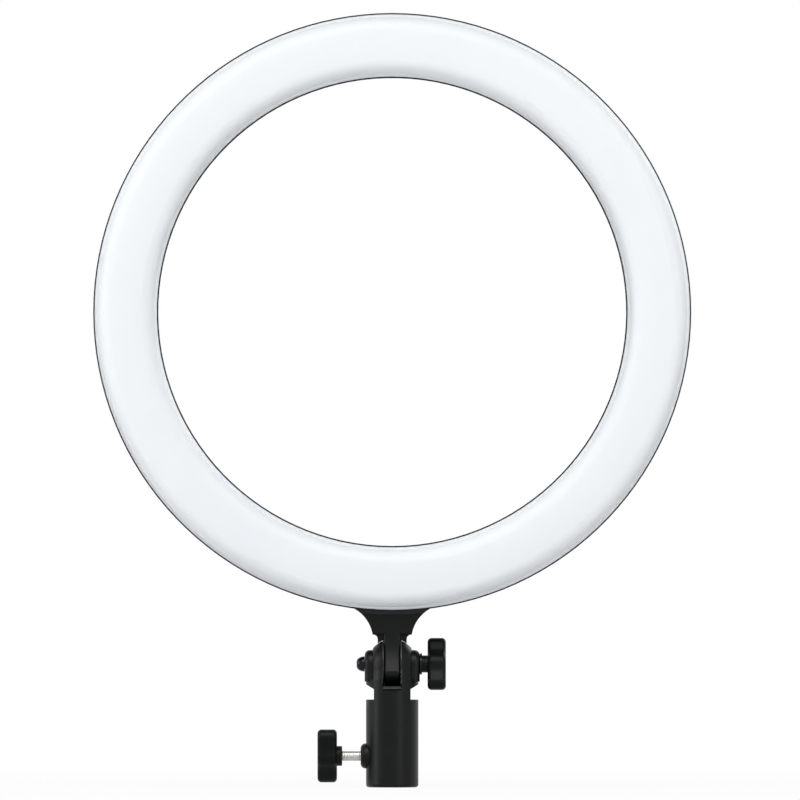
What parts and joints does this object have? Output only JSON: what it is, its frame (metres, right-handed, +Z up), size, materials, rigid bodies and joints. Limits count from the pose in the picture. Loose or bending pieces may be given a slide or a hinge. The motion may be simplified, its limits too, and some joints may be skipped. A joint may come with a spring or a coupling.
{
  "type": "led ring light",
  "caption": "Round LED ring light with a full-face opal diffuser, rear controls, a tilting neck and a stand socket locked by wing knobs.",
  "frame": {"origin": "centre of the stand socket's mouth", "axes": "+Z up along the socket's bore, lit face looks along -Y, tilt axis along X"},
  "size_m": [0.3, 0.0479, 0.3885],
  "materials": {
    "black_nylon": "moulded, fine satin texture",
    "black_knob_nylon": "moulded, slightly polished by hands",
    "black_abs": "moulded, fine matte texture",
    "opal_acrylic": "moulded, satin opal white",
    "zinc_plated_steel": "bright zinc plate",
    "black_oxide_steel": "black plated, glossy",
    "brass": "turned",
    "black_acetal": "punched sheet",
    "white_board": "white mask on glass-fibre laminate",
    "green_board": "green mask on glass-fibre laminate",
    "led_cool": "lamp package with pale phosphor",
    "led_warm": "lamp package with amber phosphor",
    "wire_insulation": "soft insulation",
    "black_jack": "moulded",
    "button_plastic": "moulded, satin"
  },
  "bodies": {
    "stand_mount": {"stand_socket": "black_nylon", "clamp_insert": "brass", "pivot_bolt": "black_oxide_steel", "friction_washers": "black_acetal"},
    "head": {"tilt_bracket": "black_nylon", "bracket_screws": "zinc_plated_steel", "tongue_bush": "brass", "rear_housing": "black_abs", "diffuser": "opal_acrylic", "housing_screws": "black_oxide_steel", "led_board": "white_board", "board_screws": "zinc_plated_steel", "leds_cool": "led_cool", "leds_warm": "led_warm", "control_cover": "black_abs", "cover_screws": "black_oxide_steel", "control_board": "green_board", "dial_pots": "zinc_plated_steel", "pot_nuts": "zinc_plated_steel", "power_switch": "black_jack", "dc_inlet": "black_jack", "wire_harness": "wire_insulation"},
    "tilt_washer": {"thrust_washer": "black_oxide_steel"},
    "tilt_lock": {"tilt_knob": "black_knob_nylon", "tilt_knob_nut": "zinc_plated_steel"},
    "clamp_tip": {"clamp_pad": "brass"},
    "clamp": {"clamp_screw": "zinc_plated_steel", "clamp_knob": "black_knob_nylon"},
    "power_key": {"power_button": "button_plastic"},
    "brightness_control": {"brightness_shaft": "zinc_plated_steel", "brightness_dial": "black_knob_nylon"},
    "colour_control": {"colour_shaft": "zinc_plated_steel", "colour_dial": "black_knob_nylon"}
  },
  "joints": [
    {"name": "head_tilt", "type": "hinge", "parent": "stand_mount", "child": "head", "pos_m": [0, 0, 0.0619], "axis": [1, 0, 0], "range_deg": [-90, 90]},
    {"name": "tilt_knob_travel", "type": "slide", "parent": "stand_mount", "child": "tilt_washer", "axis": [1, 0, 0], "range_m": [0, 0.0016]},
    {"name": "tilt_knob_turn", "type": "hinge", "parent": "tilt_washer", "child": "tilt_lock", "pos_m": [0.02, 0, 0.0619], "axis": [1, 0, 0], "range_deg": [0, 721]},
    {"name": "clamp_travel", "type": "slide", "parent": "stand_mount", "child": "clamp_tip", "axis": [1, 0, 0], "range_m": [-0.0008, 0.0088]},
    {"name": "clamp_turn", "type": "hinge", "parent": "clamp_tip", "child": "clamp", "pos_m": [-0.03, 0, 0.01575], "axis": [1, 0, 0], "range_deg": [-361, 3961]},
    {"name": "power_press", "type": "slide", "parent": "head", "child": "power_key", "axis": [0, -1, 0], "range_m": [0, 0.001], "stiffness_N_per_m": 600},
    {"name": "brightness_turn", "type": "hinge", "parent": "head", "child": "brightness_control", "pos_m": [-0.02322, 0.0256, 0.10683], "axis": [0, 1, 0], "range_deg": [-140, 140]},
    {"name": "colour_turn", "type": "hinge", "parent": "head", "child": "colour_control", "pos_m": [-0.0035, 0.0256, 0.10485], "axis": [0, 1, 0], "range_deg": [-140, 140]}
  ],
  "couplings": [
    {"joint": "tilt_knob_turn", "follows": "tilt_knob_travel", "rad_per_m": 7854},
    {"joint": "clamp_turn", "follows": "clamp_travel", "rad_per_m": 7854}
  ]
}
